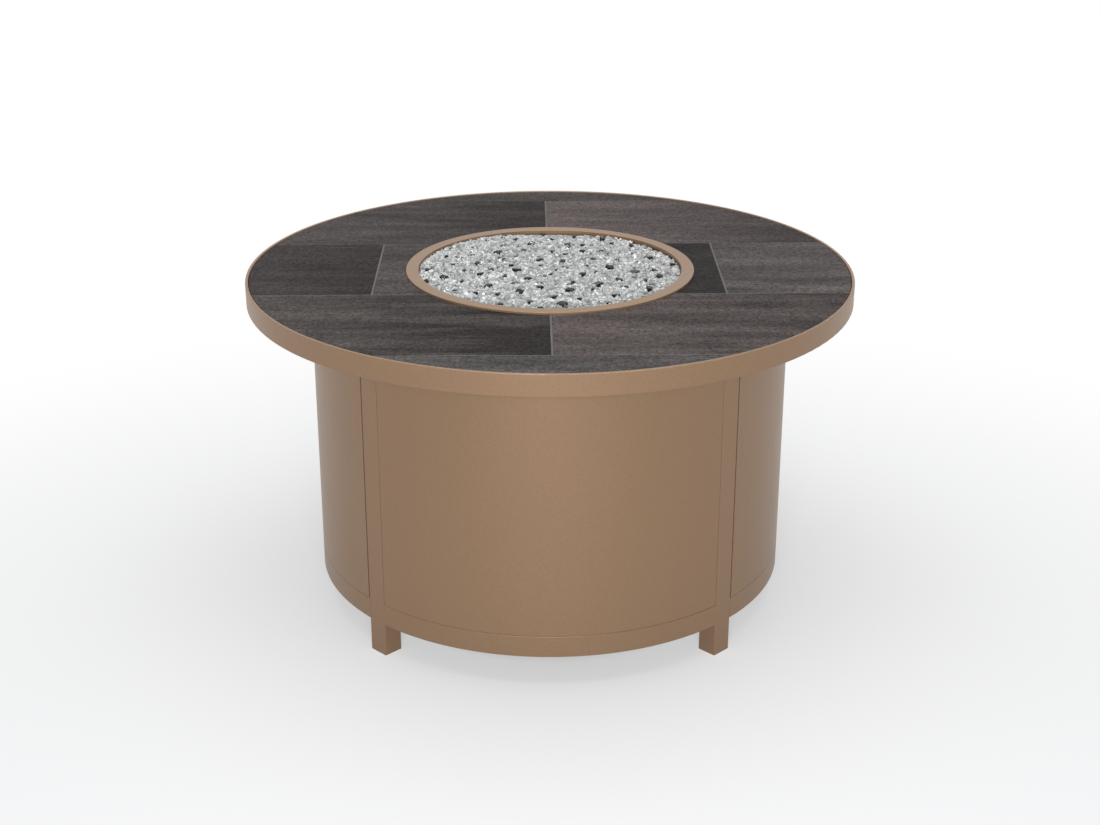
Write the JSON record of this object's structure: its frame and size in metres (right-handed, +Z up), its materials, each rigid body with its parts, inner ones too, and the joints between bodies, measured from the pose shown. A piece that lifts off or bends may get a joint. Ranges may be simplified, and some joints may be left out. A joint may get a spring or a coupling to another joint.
{
  "type": "gas fire pit table",
  "caption": "Round gas fire pit table: a tiled top with a bronze rim and a sunken burner of fire glass on a closed drum base of curved panels, with an access door.",
  "frame": {"origin": "on the floor, under the middle of the table", "axes": "+Z up; -Y is the front as pictured, +Y the back with the access door, +X to the right"},
  "size_m": [1.0667, 1.0668, 0.6078],
  "materials": {
    "bronze_powder_coat": "satin",
    "porcelain_tile": "satin",
    "cement_grout": "matte",
    "cement_board": "matte",
    "fire_glass": "polished",
    "stainless_steel": "satin",
    "zinc_steel": "satin",
    "yellow_brass": "satin",
    "aluminium_tube": "satin",
    "black_plastic": "satin",
    "brown_plastic": "matte",
    "white_ceramic": "gloss",
    "lead_rubber": "satin"
  },
  "bodies": {
    "table": {"air_mixer": "yellow_brass", "backer_board": "cement_board", "bottom_rail_back": "bronze_powder_coat", "bottom_rail_front": "bronze_powder_coat", "bottom_rail_left": "bronze_powder_coat", "bottom_rail_right": "bronze_powder_coat", "bracket_screws": "zinc_steel", "burner_lock_nut": "zinc_steel", "burner_nipple": "zinc_steel", "burner_pan": "bronze_powder_coat", "control_bracket": "stainless_steel", "door_pivot_pins": "stainless_steel", "fire_glass": "fire_glass", "flare_nuts": "yellow_brass", "gas_tube": "aluminium_tube", "gas_valve": "yellow_brass", "igniter_body": "black_plastic", "igniter_lead": "lead_rubber", "igniter_nut": "zinc_steel", "magnet_catch": "brown_plastic", "panel_front": "bronze_powder_coat", "panel_left": "bronze_powder_coat", "panel_right": "bronze_powder_coat", "panel_screws": "zinc_steel", "post_back_left": "bronze_powder_coat", "post_back_right": "bronze_powder_coat", "post_end_plugs": "brown_plastic", "post_front_left": "bronze_powder_coat", "post_front_right": "bronze_powder_coat", "rim_band": "bronze_powder_coat", "ring_burner": "stainless_steel", "spark_electrode": "white_ceramic", "tank_tray": "bronze_powder_coat", "tile_back": "porcelain_tile", "tile_back_left": "porcelain_tile", "tile_back_right": "porcelain_tile", "tile_burner_left": "porcelain_tile", "tile_burner_right": "porcelain_tile", "tile_front": "porcelain_tile", "tile_front_left": "porcelain_tile", "tile_front_right": "porcelain_tile", "tile_grout": "cement_grout", "tile_left": "porcelain_tile", "tile_right": "porcelain_tile", "top_cross_bars": "bronze_powder_coat", "top_long_bars": "bronze_powder_coat", "top_mounting_ring": "bronze_powder_coat", "top_screws": "zinc_steel", "tray_bars": "bronze_powder_coat", "trim_ring": "bronze_powder_coat"},
    "door": {"access_door": "bronze_powder_coat", "door_pivot_bushes": "brown_plastic", "door_pull": "bronze_powder_coat", "door_pull_screw": "zinc_steel", "catch_strike_plate": "zinc_steel"},
    "knob": {"control_knob": "black_plastic", "valve_stem": "zinc_steel"},
    "button": {"igniter_button": "black_plastic"}
  },
  "joints": [
    {"name": "door_hinge", "type": "hinge", "parent": "table", "child": "door", "pos_m": [0.27197, 0.31439, 0.33], "axis": [0, 0, -1], "range_deg": [0, 110]},
    {"name": "knob_turn", "type": "hinge", "parent": "table", "child": "knob", "pos_m": [-0.22941, 0.26788, 0.533], "axis": [-0.6018, 0.7986, 0], "range_deg": [0, 180]},
    {"name": "igniter_press", "type": "slide", "parent": "table", "child": "button", "axis": [0.6018, -0.7986, 0], "range_m": [0, 0.004], "stiffness_N_per_m": 500}
  ]
}
